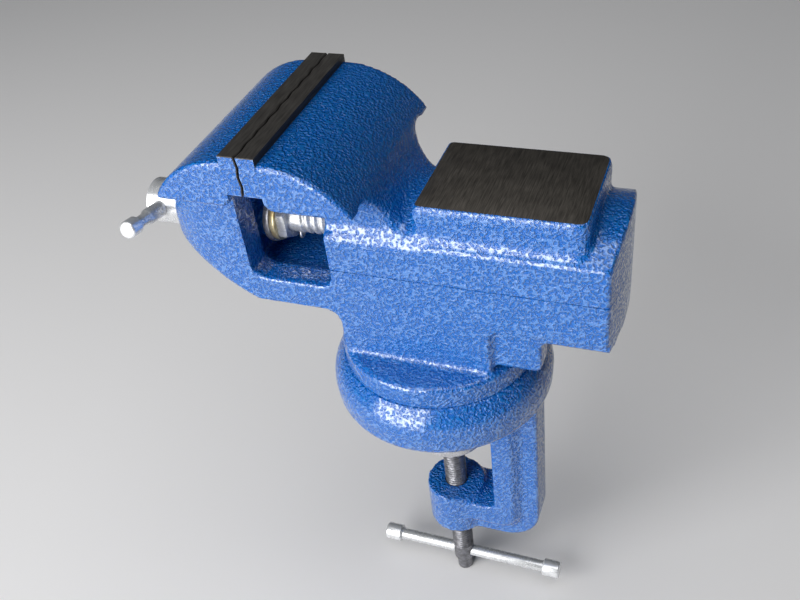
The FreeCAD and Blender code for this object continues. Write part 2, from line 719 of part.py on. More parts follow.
def main_screw():
    """Screw with a cross-drilled head, running through the nose to the back of the sliding jaw."""
    head = chamfered_rod(Vector(HEAD_END, 0, SCREW_AXIS), X_AXIS, HEAD_LENGTH, HEAD_DIAMETER, HEAD_CHAMFER)
    shank = rod_x(NOSE_WASHER_FACE, SCREW_TIP, SCREW_DIAMETER)
    screw = join(head, shank)
    bar_centre = Vector(BAR_STATION, 0, SCREW_AXIS)
    bar_hole = cross_hole(bar_centre, bar_direction(), HEAD_DIAMETER, BAR_DIAMETER + 2 * RUNNING_FIT)
    pin_centre = Vector(SPLIT_PIN_STATION, 0, SCREW_AXIS)
    pin_hole = cross_hole(pin_centre, Z_AXIS, SCREW_DIAMETER, SPLIT_PIN_DIAMETER)
    return screw.cut([bar_hole, pin_hole])


def ring_x(x_low, x_high, outer, inner):
    return rod_x(x_low, x_high, outer).cut(rod_x(x_low, x_high, inner))


def nose_washer():
    return ring_x(NOSE_WASHER_FACE, NOSE_END, NOSE_WASHER_DIAMETER, SCREW_DIAMETER + 2 * RUNNING_FIT)


def thrust_washer():
    bore = SCREW_DIAMETER + 2 * RUNNING_FIT
    return ring_x(BEARING_FACE, THRUST_WASHER_END, THRUST_WASHER_DIAMETER, bore)


def brass_washer():
    return ring_x(THRUST_WASHER_END, BRASS_WASHER_END, BRASS_WASHER_DIAMETER, SCREW_DIAMETER)


def retaining_nut():
    """Hexagon nut with its corners turned off at both ends."""
    start = Vector(BRASS_WASHER_END, 0, SCREW_AXIS)
    prism = hexagon(start, X_AXIS, NUT_ACROSS_FLATS, NUT_THICKNESS)
    corner_diameter = 2 * NUT_ACROSS_FLATS / math.sqrt(3)
    chamfer = (corner_diameter - NUT_ACROSS_FLATS) / 2
    turned = chamfered_rod(start, X_AXIS, NUT_THICKNESS, corner_diameter, chamfer / 2)
    return prism.common(turned).cut(rod_x(BRASS_WASHER_END, NUT_END, SCREW_DIAMETER))


def split_pin():
    """Split pin across the screw behind the nut, its eye below and its tails above."""
    eye_radius = (SPLIT_PIN_EYE - SPLIT_PIN_DIAMETER) / 2
    eye_level = SCREW_AXIS - SCREW_RADIUS - SPLIT_PIN_EYE / 2
    top = SCREW_AXIS + SCREW_RADIUS + SPLIT_PIN_TAIL
    eye_centre = Vector(SPLIT_PIN_STATION, 0, eye_level)
    eye = Part.makeTorus(eye_radius, SPLIT_PIN_DIAMETER / 2, eye_centre, X_AXIS)
    shank = rod_z(eye_level + eye_radius, top, SPLIT_PIN_DIAMETER, x=SPLIT_PIN_STATION)
    return join(eye, shank)


def lead_nut():
    """Bush pressed into the sliding jaw that carries the thread for the main screw."""
    return ring_x(TONGUE_FRONT, LEAD_NUT_END, LEAD_NUT_DIAMETER, SCREW_DIAMETER + 2 * RUNNING_FIT)


def keeper_level():
    return KEEPER_TOP - KEEPER_THICKNESS


def keeper_plate():
    """Plate under the bed floor that holds the sliding jaw down."""
    half = KEEPER_WIDTH / 2
    low = keeper_level()
    front = TONGUE_FRONT + KEEPER_INSET
    rear = TONGUE_REAR - KEEPER_INSET
    plate = block(front, rear, -half, half, low, KEEPER_TOP)
    holes = [rod_z(low, KEEPER_TOP, KEEPER_SCREW_DIAMETER, x=place) for place in keeper_screw_places()]
    return plate.cut(holes)


def keeper_screws():
    screws = []
    head_low = keeper_level() - KEEPER_SCREW_HEAD_HEIGHT
    for place in keeper_screw_places():
        head = rod_z(head_low, keeper_level(), KEEPER_SCREW_HEAD, x=place)
        shank = rod_z(keeper_level(), KEEPER_TOP + KEEPER_SCREW_DEPTH, KEEPER_SCREW_DIAMETER, x=place)
        socket = hexagon(Vector(place, 0, head_low), Z_AXIS, SOCKET_DIAMETER, SOCKET_DEPTH)
        screws.append(join(head, shank).cut(socket))
    return Part.makeCompound(screws)


def main_tommy_bar():
    """Bar with turned-down ends that slides in the screw head."""
    centre = Vector(BAR_STATION, 0, SCREW_AXIS) + bar_direction() * BAR_OFFSET
    half = BAR_LENGTH / 2
    thick_half = half - BAR_NECK_LENGTH
    thin = rod(centre - bar_direction() * half, bar_direction(), BAR_LENGTH, BAR_NECK_DIAMETER)
    thick_start = centre - bar_direction() * thick_half
    thick = chamfered_rod(thick_start, bar_direction(), 2 * thick_half, BAR_DIAMETER, CAP_CHAMFER)
    return join(thin, thick)


def bar_cap(end, outward, length, diameter, bar_diameter):
    """Cap pushed over a bar's end, with its far rim chamfered."""
    start = end - outward * (length - bar_diameter / 2)
    body = chamfered_rod(start, outward, length, diameter, CAP_CHAMFER)
    return body.cut(rod(start, outward, length - bar_diameter / 2, bar_diameter))


def main_bar_caps():
    centre = Vector(BAR_STATION, 0, SCREW_AXIS) + bar_direction() * BAR_OFFSET
    caps = []
    for side in (-1, 1):
        outward = bar_direction() * side
        end = centre + outward * (BAR_LENGTH / 2)
        caps.append(bar_cap(end, outward, CAP_LENGTH, CAP_DIAMETER, BAR_NECK_DIAMETER))
    return Part.makeCompound(caps)


def pivot_recess_depth():
    return PIVOT_NUT_HEIGHT + PIVOT_WASHER_THICKNESS + PIVOT_RECESS_MARGIN


def flange():
    """Turned base: a bulging rim between the table seat and the swivel face."""
    seat = FLANGE_SEAT_DIAMETER / 2
    rim = FLANGE_DIAMETER / 2
    top = FOOT_DIAMETER / 2
    low_middle = Vector(seat + (rim - seat) * math.sqrt(0.5), 0,
                        FLANGE_WAIST_HEIGHT * (1 - math.sqrt(0.5)))
    rise = FLANGE_HEIGHT - FLANGE_WAIST_HEIGHT
    high_middle = Vector(top + (rim - top) * math.sqrt(0.5), 0,
                         FLANGE_WAIST_HEIGHT + rise * math.sqrt(0.5))
    waist = Vector(rim, 0, FLANGE_WAIST_HEIGHT)
    edges = [
        Part.LineSegment(Vector(0, 0, 0), Vector(seat, 0, 0)).toShape(),
        Part.Arc(Vector(seat, 0, 0), low_middle, waist).toShape(),
        Part.Arc(waist, high_middle, Vector(top, 0, FLANGE_HEIGHT)).toShape(),
        Part.LineSegment(Vector(top, 0, FLANGE_HEIGHT), Vector(0, 0, FLANGE_HEIGHT)).toShape(),
        Part.LineSegment(Vector(0, 0, FLANGE_HEIGHT), Vector(0, 0, 0)).toShape(),
    ]
    return Part.Face(Part.Wire(edges)).revolve(Vector(0, 0, 0), Z_AXIS, 360)


def bow_wire(inset, place_y):
    """Outline of the C-shaped bow under the base, drawn in from its outer edge."""
    front = -CLAMP_BOSS_DIAMETER / 4
    back = SPINE_BACK - inset
    low = inset - CLAMP_DROP
    corners = [
        (SPINE_TO_SWIVEL, OVERRUN, 0),
        (SPINE_TO_SWIVEL, CLAMP_THROAT, CLAMP_THROAT_RADIUS),
        (front, CLAMP_THROAT, 0),
        (front, low, 0),
        (back, low, CLAMP_CORNER_RADIUS - inset),
        (back, OVERRUN, 0),
    ]
    return rounded_wire(corners, lambda x, z: Vector(x, place_y, z))


def clamp_bow():
    """Bow with a wide rail on the throat side that slopes down to a narrower outer rib."""
    half_rib = RIB_WIDTH / 2
    half_rail = RAIL_WIDTH / 2
    rib = Part.Face(bow_wire(0, -half_rib)).extrude(Y_AXIS * RIB_WIDTH)
    inner_inset = RIB_DEPTH + RAIL_SLOPE
    near = Part.makeLoft([bow_wire(inner_inset, -half_rail), bow_wire(RIB_DEPTH, -half_rib)], True, True)
    far = Part.makeLoft([bow_wire(RIB_DEPTH, half_rib), bow_wire(inner_inset, half_rail)], True, True)
    return join(rib, near, far)


def clamp_frame():
    """Round base and bow, one casting."""
    boss_high = CLAMP_THROAT + CLAMP_BOSS_RISE
    boss = rod_z(-CLAMP_DROP, boss_high, CLAMP_BOSS_DIAMETER)
    body = join(flange(), clamp_bow(), boss)
    core = rod_z(0, FLANGE_CORE_DEPTH, FLANGE_CORE_DIAMETER)
    core = core.cut(rod_z(0, FLANGE_CORE_DEPTH, HUB_DIAMETER))
    half_core = FLANGE_CORE_DIAMETER / 2
    kept = block(SPINE_TO_SWIVEL - CAVITY_WALL, half_core, -half_core, half_core, 0, FLANGE_CORE_DEPTH)
    recess = PIVOT_WASHER_DIAMETER + 2 * PIVOT_RECESS_CLEARANCE
    cuts = [
        core.cut(kept),
        rod_z(-OVERRUN, pivot_recess_depth(), recess),
        rod_z(-OVERRUN, FLANGE_HEIGHT + OVERRUN, PIVOT_DIAMETER),
        rod_z(-CLAMP_DROP - OVERRUN, boss_high + OVERRUN, CLAMP_SCREW_DIAMETER + 2 * RUNNING_FIT),
    ]
    return body.cut(cuts).removeSplitter()


def pivot_bolt():
    """Bolt through foot and base, head inside the pedestal, threaded end in the base recess."""
    head = hexagon(Vector(0, 0, FOOT_TOP), Z_AXIS, PIVOT_HEAD_FLATS, PIVOT_HEAD_HEIGHT)
    shank = rod_z(PIVOT_RECESS_MARGIN, FOOT_TOP, PIVOT_DIAMETER)
    return join(head, shank)


def pivot_washer():
    low = PIVOT_RECESS_MARGIN + PIVOT_NUT_HEIGHT
    high = low + PIVOT_WASHER_THICKNESS
    return rod_z(low, high, PIVOT_WASHER_DIAMETER).cut(rod_z(low, high, PIVOT_DIAMETER))


def pivot_nut():
    low = PIVOT_RECESS_MARGIN
    body = hexagon(Vector(0, 0, low), Z_AXIS, PIVOT_HEAD_FLATS, PIVOT_NUT_HEIGHT)
    return body.cut(rod_z(low, low + PIVOT_NUT_HEIGHT, PIVOT_DIAMETER))


def pad_socket_top():
    return PAD_UNDERSIDE + PAD_SOCKET_DEPTH


def pressure_pad():
    """Swivelling pad with a hub that is closed over the clamp screw's spigot."""
    plate = rod_z(PAD_UNDERSIDE, -TABLE_THICKNESS, PAD_DIAMETER)
    hub = rod_z(PAD_UNDERSIDE - PAD_HUB_LENGTH, PAD_UNDERSIDE, PAD_HUB_DIAMETER)
    socket_low = PAD_UNDERSIDE - PAD_HUB_LENGTH
    socket = rod_z(socket_low, pad_socket_top(), CLAMP_SPIGOT_DIAMETER + 2 * RUNNING_FIT)
    return join(plate, hub).cut(socket)


def clamp_screw():
    """Table clamp screw: spigot in the pad, thread through the boss, cross hole and turned-down tip."""
    shoulder = PAD_UNDERSIDE - PAD_HUB_LENGTH
    spigot = rod_z(shoulder, pad_socket_top(), CLAMP_SPIGOT_DIAMETER)
    thread = rod_z(-CLAMP_SCREW_DROP, shoulder, CLAMP_SCREW_DIAMETER)
    tip_start = Vector(0, 0, -CLAMP_SCREW_DROP - CLAMP_TIP_LENGTH)
    tip = chamfered_rod(tip_start, Z_AXIS, CLAMP_TIP_LENGTH, CLAMP_TIP_DIAMETER, CAP_CHAMFER)
    centre = Vector(0, 0, -CLAMP_BAR_DROP)
    hole = cross_hole(centre, X_AXIS, CLAMP_SCREW_DIAMETER, CLAMP_BAR_DIAMETER + 2 * RUNNING_FIT)
    return join(spigot, thread, tip).cut(hole)


def clamp_bar_centre():
    return Vector(CLAMP_BAR_OFFSET, 0, -CLAMP_BAR_DROP)


def clamp_tommy_bar():
    start = clamp_bar_centre() - X_AXIS * (CLAMP_BAR_LENGTH / 2)
    return rod(start, X_AXIS, CLAMP_BAR_LENGTH, CLAMP_BAR_DIAMETER)


def clamp_bar_caps():
    caps = []
    for side in (-1, 1):
        outward = X_AXIS * side
        end = clamp_bar_centre() + outward * (CLAMP_BAR_LENGTH / 2)
        caps.append(bar_cap(end, outward, CLAMP_CAP_LENGTH, CLAMP_CAP_DIAMETER, CLAMP_BAR_DIAMETER))
    return Part.makeCompound(caps)


NODES = {
    "clamp_frame": clamp_frame(),
    "bed_casting": bed_casting(),
    "sliding_jaw": sliding_jaw(),
    "front_jaw_plate": jaw_plate(FRONT_SEAT, 1),
    "rear_jaw_plate": jaw_plate(REAR_SEAT, -1),
    "front_plate_screws": plate_screws(FRONT_SEAT, 1),
    "rear_plate_screws": plate_screws(REAR_SEAT, -1),
    "main_screw": main_screw(),
    "nose_washer": nose_washer(),
    "thrust_washer": thrust_washer(),
    "brass_washer": brass_washer(),
    "retaining_nut": retaining_nut(),
    "split_pin": split_pin(),
    "lead_nut": lead_nut(),
    "keeper_plate": keeper_plate(),
    "keeper_screws": keeper_screws(),
    "main_tommy_bar": main_tommy_bar(),
    "main_bar_caps": main_bar_caps(),
    "clamp_screw": clamp_screw(),
    "pressure_pad": pressure_pad(),
    "clamp_tommy_bar": clamp_tommy_bar(),
    "clamp_bar_caps": clamp_bar_caps(),
    "pivot_bolt": pivot_bolt(),
    "pivot_washer": pivot_washer(),
    "pivot_nut": pivot_nut(),
}

os.makedirs("parts", exist_ok=True)
for name, shape in NODES.items():
    valid = shape.isValid()
    print(name, "solids", len(shape.Solids), "valid", valid, "volume", round(shape.Volume, 1))
    shape.exportStep("parts/" + name + ".step")
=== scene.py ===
import math

import bmesh
import bpy
from mathutils import Matrix, Vector
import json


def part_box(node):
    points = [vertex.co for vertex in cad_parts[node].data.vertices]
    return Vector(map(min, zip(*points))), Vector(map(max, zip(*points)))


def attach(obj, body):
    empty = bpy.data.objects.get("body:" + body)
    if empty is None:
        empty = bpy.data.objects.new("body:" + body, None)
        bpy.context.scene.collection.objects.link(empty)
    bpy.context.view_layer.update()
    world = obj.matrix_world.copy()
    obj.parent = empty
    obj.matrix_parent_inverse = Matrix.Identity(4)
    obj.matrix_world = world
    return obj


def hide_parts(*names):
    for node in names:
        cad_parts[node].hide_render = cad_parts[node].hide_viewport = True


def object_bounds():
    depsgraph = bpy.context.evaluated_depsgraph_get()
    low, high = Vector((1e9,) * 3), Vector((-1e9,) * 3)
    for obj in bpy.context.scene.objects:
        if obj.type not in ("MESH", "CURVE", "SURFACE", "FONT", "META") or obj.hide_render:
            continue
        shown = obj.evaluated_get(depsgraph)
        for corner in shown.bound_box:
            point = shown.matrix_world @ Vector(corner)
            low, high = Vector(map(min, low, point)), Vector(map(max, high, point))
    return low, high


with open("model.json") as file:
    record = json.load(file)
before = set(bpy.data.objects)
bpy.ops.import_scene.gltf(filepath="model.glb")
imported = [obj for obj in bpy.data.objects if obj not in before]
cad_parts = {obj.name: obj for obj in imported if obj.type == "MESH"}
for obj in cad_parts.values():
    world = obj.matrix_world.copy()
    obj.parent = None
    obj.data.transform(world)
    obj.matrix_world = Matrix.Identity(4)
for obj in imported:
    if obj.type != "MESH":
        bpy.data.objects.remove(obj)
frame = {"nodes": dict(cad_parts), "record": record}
cad_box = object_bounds()
MM = 0.001


# Base and table bow. One grey iron casting: a round swivel seat, with a C-shaped bow under it for the table.
# It is sand cast, so every edge is soft but the milled seat's, and dipped in pebbled blue hammer enamel.
# The turret turns on the seat, round the pivot bolt.

X, Y, Z = 0, 1, 2
CAD_WELD = 0.005 * MM
CUT_WELD = 0.001 * MM
CAST_GRAIN = 0.8 * MM
STOCK = 3 * MM
ENAMELLED = 0
SWIVEL_RIM = (0.15 * MM, 0.5 * MM)
swivel_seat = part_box("clamp_frame")[1].z


def merged_copy(node):
    """The CAD node's solid as one closed bmesh."""
    shape = bmesh.new()
    shape.from_mesh(frame["nodes"][node].data)
    bmesh.ops.remove_doubles(shape, verts=shape.verts, dist=CAD_WELD)
    return shape


def set_down(name, shape):
    """Sets a bmesh down in the scene as an object."""
    holder = bpy.data.objects.new(name, bpy.data.meshes.new(name))
    shape.to_mesh(holder.data)
    shape.free()
    bpy.context.scene.collection.objects.link(holder)
    return holder


def taken_up(holder):
    """Takes an object out of the scene, as a bmesh of the shape that its modifiers gave it."""
    skin = bpy.data.meshes.new_from_object(holder.evaluated_get(bpy.context.evaluated_depsgraph_get()))
    shape = bmesh.new()
    shape.from_mesh(skin)
    bpy.data.objects.remove(holder)
    bpy.data.meshes.remove(skin)
    return shape


def sand_cast(shape, passes):
    """Remeshes a shape into an even skin and smooths it, which rounds every edge and corner."""
    pattern = set_down("pattern", shape)
    remesh = pattern.modifiers.new("Sand", "REMESH")
    remesh.mode = "VOXEL"
    remesh.voxel_size = CAST_GRAIN
    smooth = pattern.modifiers.new("Fettle", "SMOOTH")
    smooth.factor = 0.5
    smooth.iterations = passes
    return taken_up(pattern)


def flat_faces(shape, axis, facing, level):
    """The flat faces at a level that look along an axis."""
    square_on = 0.99
    level_with = 0.05 * MM
    found = []
    for face in shape.faces:
        off_level = abs(face.calc_center_median()[axis] - level)
        if face.normal[axis] * facing > square_on and off_level < level_with:
            found.append(face)
    return found


def leave_stock(shape, axis, facing, level):
    """Leaves spare metal on the faces at a level, which are milled after casting."""
    grown = bmesh.ops.extrude_face_region(shape, geom=flat_faces(shape, axis, facing, level))
    corners = [part for part in grown["geom"] if isinstance(part, bmesh.types.BMVert)]
    step = Vector((0, 0, 0))
    step[axis] = STOCK * facing
    bmesh.ops.translate(shape, verts=corners, vec=step)


def mill(shape, axis, facing, level, rim, keep_out=None, finish=ENAMELLED):
    """Cuts the casting back to a flat face at a level, with a rim that slopes off by a drop over a width.

    keep_out says what the cutter clears, and finish is the face's material. The rim's edges are given back.
    """
    drop, width = rim
    reached = [face for face in shape.faces if keep_out is None or not keep_out(face.calc_center_median())]
    edges = list({edge for face in reached for edge in face.edges})
    verts = list({vert for face in reached for vert in face.verts})
    point = Vector((0, 0, 0))
    point[axis] = level
    normal = Vector((0, 0, 0))
    normal[axis] = facing
    cut = bmesh.ops.bisect_plane(shape, geom=verts + edges + reached, dist=CUT_WELD, plane_co=point,
                                 plane_no=normal, clear_outer=True)
    around = [part for part in cut["geom_cut"] if isinstance(part, bmesh.types.BMEdge)]
    filled = bmesh.ops.triangle_fill(shape, use_beauty=True, edges=around, normal=normal)
    flat = [part for part in filled["geom"] if isinstance(part, bmesh.types.BMFace)]
    for face in flat:
        if face.normal.dot(normal) < 0:
            face.normal_flip()
    slope = bmesh.ops.inset_region(shape, faces=flat, thickness=width, depth=0, use_even_offset=True)["faces"]
    kept = {vert for face in flat for vert in face.verts}
    outer = {vert for face in slope for vert in face.verts} - kept
    bmesh.ops.translate(shape, verts=list(outer), vec=-normal * drop)
    for face in flat:
        face.material_index = finish
    return [edge for face in slope for edge in face.edges if set(edge.verts) <= outer]


def smooth_faces(shape, sharp_degrees, crisp=()):
    """Shades the faces smooth and keeps some edges, and those sharper than an angle, crisp."""
    limit = math.radians(sharp_degrees)
    for face in shape.faces:
        face.smooth = True
    for edge in shape.edges:
        edge.smooth = len(edge.link_faces) == 2 and edge.calc_face_angle(0) < limit
    for edge in crisp:
        edge.smooth = False


def add_piece(name, shape, body, materials, replaced):
    """Makes the bmesh a piece of the object that rides on its body in place of its CAD nodes."""
    piece = set_down(name, shape)
    for material in materials:
        piece.data.materials.append(material)
    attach(piece, body)
    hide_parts(*replaced)


def new_material(name):
    """A material and its shader."""
    material = bpy.data.materials.new(name)
    material.use_nodes = True
    return material, material.node_tree.nodes["Principled BSDF"]


def new_group(name, inputs, outputs):
    """A shader node group with named inputs and outputs, and the two nodes that hold them."""
    group = bpy.data.node_groups.new(name, "ShaderNodeTree")
    for socket, kind in inputs.items():
        group.interface.new_socket(socket, in_out="INPUT", socket_type=kind)
    for socket, kind in outputs.items():
        group.interface.new_socket(socket, in_out="OUTPUT", socket_type=kind)
    return group, group.nodes.new("NodeGroupInput"), group.nodes.new("NodeGroupOutput")


def place_group(tree, group, values):
    """Places a node group in a material with the material's own values."""
    placed = tree.nodes.new("ShaderNodeGroup")
    placed.node_tree = group
    for socket, value in values.items():
        placed.inputs[socket].default_value = value
    return placed


def noise(tree, place, scale, detail):
    """Noise at a place on the surface, its scale in lumps to the metre."""
    lumps = tree.nodes.new("ShaderNodeTexNoise")
    lumps.inputs["Scale"].default_value = scale
    lumps.inputs["Detail"].default_value = detail
    tree.links.new(place, lumps.inputs["Vector"])
    return lumps


def times_plus(tree, value, factor, plus):
    """A value times a factor, plus a number or another value."""
    node = tree.nodes.new("ShaderNodeMath")
    node.operation = "MULTIPLY_ADD"
    node.inputs[1].default_value = factor
    tree.links.new(value, node.inputs[0])
    if isinstance(plus, float):
        node.inputs[2].default_value = plus
    else:
        tree.links.new(plus, node.inputs[2])
    return node.outputs["Value"]


def blend_colours(tree, share, first, second):
    """One colour fading into another by a share."""
    colour_a, colour_b, colour_result = 6, 7, 2
    blend = tree.nodes.new("ShaderNodeMix")
    blend.data_type = "RGBA"
    tree.links.new(share, blend.inputs["Factor"])
    tree.links.new(first, blend.inputs[colour_a])
    tree.links.new(second, blend.inputs[colour_b])
    return blend.outputs[colour_result]


def add_relief(tree, shader, height, strength, depth):
    """Raises a material's surface by a height."""
    bump = tree.nodes.new("ShaderNodeBump")
    bump.inputs["Strength"].default_value = strength
    bump.inputs["Distance"].default_value = depth
    tree.links.new(height, bump.inputs["Height"])
    tree.links.new(bump.outputs["Normal"], shader.inputs["Normal"])


def hammer_enamel_group():
    """Pebbled hammer finish: sunken dark blue islands ringed by a raised net of bright flake."""
    group, given, result = new_group(
        "Hammer enamel",
        {"Pebble size mm": "NodeSocketFloat", "Island colour": "NodeSocketColor",
         "Net colour": "NodeSocketColor"},
        {"Colour": "NodeSocketColor", "Flake": "NodeSocketFloat", "Height": "NodeSocketFloat"})
    nodes = group.nodes
    links = group.links
    place = nodes.new("ShaderNodeTexCoord").outputs["Object"]
    pebbles_to_the_metre = nodes.new("ShaderNodeMath")
    pebbles_to_the_metre.operation = "DIVIDE"
    pebbles_to_the_metre.inputs[0].default_value = 1 / MM
    links.new(given.outputs["Pebble size mm"], pebbles_to_the_metre.inputs[1])

    stray = 1.5 * MM
    wander = noise(group, place, scale=600, detail=2)
    centred = nodes.new("ShaderNodeVectorMath")
    centred.operation = "SUBTRACT"
    centred.inputs[1].default_value = (0.5, 0.5, 0.5)
    links.new(wander.outputs["Color"], centred.inputs[0])
    shifted = nodes.new("ShaderNodeVectorMath")
    shifted.operation = "MULTIPLY_ADD"
    shifted.inputs[1].default_value = (stray, stray, stray)
    links.new(centred.outputs["Vector"], shifted.inputs[0])
    links.new(place, shifted.inputs[2])
    islands = nodes.new("ShaderNodeTexVoronoi")
    islands.feature = "F1"
    links.new(shifted.outputs["Vector"], islands.inputs["Vector"])
    links.new(pebbles_to_the_metre.outputs["Value"], islands.inputs["Scale"])
    net = nodes.new("ShaderNodeMapRange")
    net.interpolation_type = "SMOOTHSTEP"
    net.inputs["From Min"].default_value = 0.30
    net.inputs["From Max"].default_value = 0.76
    links.new(islands.outputs["Distance"], net.inputs["Value"])

    fine = noise(group, place, scale=1500, detail=2).outputs["Fac"]
    fine_share = 0.5
    links.new(times_plus(group, fine, fine_share, net.outputs["Result"]), result.inputs["Height"])
    grit_contrast = 1.2
    grit = times_plus(group, fine, grit_contrast, -grit_contrast / 2)
    flake = nodes.new("ShaderNodeMath")
    flake.operation = "ADD"
    flake.use_clamp = True
    links.new(grit, flake.inputs[0])
    links.new(net.outputs["Result"], flake.inputs[1])
    links.new(flake.outputs["Value"], result.inputs["Flake"])
    colour = blend_colours(group, flake.outputs["Value"], given.outputs["Island colour"],
                           given.outputs["Net colour"])
    links.new(colour, result.inputs["Colour"])
    return group


def enamel_material():
    """Blue hammer enamel: the colour and its gloss, with bright flake standing out in the net."""
    material, paint = new_material("blue_hammer_enamel")
    tree = material.node_tree
    pebbles = place_group(tree, hammer_enamel_group(), {
        "Pebble size mm": 0.95,
        "Island colour": (0.0003, 0.113, 0.48, 1),
        "Net colour": (0.001, 0.160, 0.55, 1)})
    tree.links.new(pebbles.outputs["Colour"], paint.inputs["Base Color"])
    tree.links.new(pebbles.outputs["Flake"], paint.inputs["Coat Weight"])
    add_relief(tree, paint, pebbles.outputs["Height"], strength=1.0, depth=0.38 * MM)
    paint.inputs["Roughness"].default_value = 0.14
    paint.inputs["IOR"].default_value = 1.58
    paint.inputs["Coat Roughness"].default_value = 0.17
    paint.inputs["Coat IOR"].default_value = 2.1
    return material


enamel = enamel_material()
base = merged_copy("clamp_frame")
leave_stock(base, Z, 1, swivel_seat)
base_skin = sand_cast(base, passes=5)
seat_rim = mill(base_skin, Z, 1, swivel_seat, SWIVEL_RIM)
smooth_faces(base_skin, 50, seat_rim)
add_piece("base_and_bow", base_skin, "base", [enamel], ["clamp_frame"])


# Bed. The lower casting of the turret: foot, pedestal, bed, arm, nose block and front jaw in one.
# Its joint face for the slide, its jaw seat and its foot are milled flat after casting, so they meet crisply.
# The foot stands on the base's seat, and the pivot bolt holds it down.

SEAM = 55.1 * MM
ABOVE_WINDOW = 70 * MM
SEAM_RIM = (0.12 * MM, 0.4 * MM)
PLATE_SEAT_RIM = (0.02 * MM, 0.04 * MM)
slide_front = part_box("sliding_jaw")[0].x
front_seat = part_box("front_jaw_plate")[0].x


def below_the_jaws(middle):
    """What the cutter for a jaw's plate seat clears."""
    return middle.z < ABOVE_WINDOW


def ahead_of_the_slide(middle):
    """What the cutter for the bed's joint face clears: the nose block and the front jaw."""
    return middle.x < slide_front + STOCK or middle.z > ABOVE_WINDOW


bed = merged_copy("bed_casting")
leave_stock(bed, Z, 1, SEAM)
leave_stock(bed, X, 1, front_seat)
leave_stock(bed, Z, -1, swivel_seat)
bed_skin = sand_cast(bed, passes=3)
mill(bed_skin, X, 1, front_seat, PLATE_SEAT_RIM, below_the_jaws)
seam_rim = mill(bed_skin, Z, 1, SEAM, SEAM_RIM, ahead_of_the_slide)
foot_rim = mill(bed_skin, Z, -1, swivel_seat, SWIVEL_RIM)
smooth_faces(bed_skin, 50, seam_rim + foot_rim)
add_piece("bed", bed_skin, "turret", [enamel], ["bed_casting"])


# Sliding jaw. The upper casting: rear jaw, neck, anvil and the arched body over the bed.
# The anvil is ground bare, and the jaw seat and underside are milled. The guide tongue stands out below,
# runs in the bed's groove and is held down by the keeper plate.

GROUND = 1
ANVIL_RIM = (0.18 * MM, 0.36 * MM)
NECK_BACK = -5 * MM
BLENDING_PASSES = 24
SADDLE_FRONT = -22 * MM
SADDLE_BACK = 6 * MM
SADDLE_HALF_WIDTH = 25 * MM
SADDLE_LOW = 63 * MM
SADDLE_HIGH = 83 * MM
ANVIL_FRONT = -4 * MM
ANVIL_EDGE = 4 * MM
rear_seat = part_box("rear_jaw_plate")[1].x
mounts = {mount["name"]: mount for mount in frame["record"]["mounts"]}
anvil_top = mounts["anvil_face"]["pos_m"][2]


def grinding_group():
    """Fine marks that run along the Y axis, as a grinding wheel leaves them."""
    group, given, result = new_group(
        "Grinding marks",
        {"Marks to the metre": "NodeSocketFloat", "Stretch": "NodeSocketVector"},
        {"Marks": "NodeSocketFloat"})
    place = group.nodes.new("ShaderNodeTexCoord")
    along = group.nodes.new("ShaderNodeMapping")
    group.links.new(place.outputs["Object"], along.inputs["Vector"])
    group.links.new(given.outputs["Stretch"], along.inputs["Scale"])
    grain = noise(group, along.outputs["Vector"], scale=1, detail=4)
    group.links.new(given.outputs["Marks to the metre"], grain.inputs["Scale"])
    group.links.new(grain.outputs["Fac"], result.inputs["Marks"])
    return group


def add_tone(tree, metal, mask, dark, dark_up_to, light, light_from):
    """Colours a metal between a dark and a light tone by a mask."""
    tone = tree.nodes.new("ShaderNodeValToRGB")
    tone.color_ramp.elements[0].position = dark_up_to
    tone.color_ramp.elements[0].color = dark
    tone.color_ramp.elements[1].position = light_from
    tone.color_ramp.elements[1].color = light
    tree.links.new(mask, tone.inputs["Fac"])
    tree.links.new(tone.outputs["Color"], metal.inputs["Base Color"])


def ground_iron_material():
    """Bare ground iron, dark and faintly brown, with fine grinding marks under a faint cloud of stain."""
    material, metal = new_material("ground_iron")
    tree = material.node_tree
    ground = place_group(tree, grinding, {"Marks to the metre": 3000, "Stretch": (1, 0.06, 1)})
    marks = ground.outputs["Marks"]
    place = tree.nodes.new("ShaderNodeTexCoord")
    cloud = noise(tree, place.outputs["Object"], scale=160, detail=5)
    faint_cloud = times_plus(tree, cloud.outputs["Fac"], factor=0.35, plus=0.33)
    clouded = tree.nodes.new("ShaderNodeMath")
    clouded.operation = "MULTIPLY"
    tree.links.new(marks, clouded.inputs[0])
    tree.links.new(faint_cloud, clouded.inputs[1])
    add_tone(tree, metal, clouded.outputs["Value"], dark=(0.038, 0.034, 0.030, 1), dark_up_to=0.10,
             light=(0.165, 0.148, 0.128, 1), light_from=0.42)
    rough = tree.nodes.new("ShaderNodeMapRange")
    rough.inputs["To Min"].default_value = 0.42
    rough.inputs["To Max"].default_value = 0.62
    tree.links.new(marks, rough.inputs["Value"])
    tree.links.new(rough.outputs["Result"], metal.inputs["Roughness"])
    add_relief(tree, metal, marks, strength=0.35, depth=0.03 * MM)
    metal.inputs["Metallic"].default_value = 0.65
    return material


def in_saddle(place):
    """Whether a place is in the hollow between rear jaw and anvil, but not on the anvil's edge."""
    along = SADDLE_FRONT < place.x < SADDLE_BACK
    within = abs(place.y) < SADDLE_HALF_WIDTH and SADDLE_LOW < place.z < SADDLE_HIGH
    off_anvil = place.x < ANVIL_FRONT or place.z < anvil_top - ANVIL_EDGE
    return along and within and off_anvil


def ahead_of_the_anvil(middle):
    """What the cutter for the anvil clears."""
    return middle.x < NECK_BACK


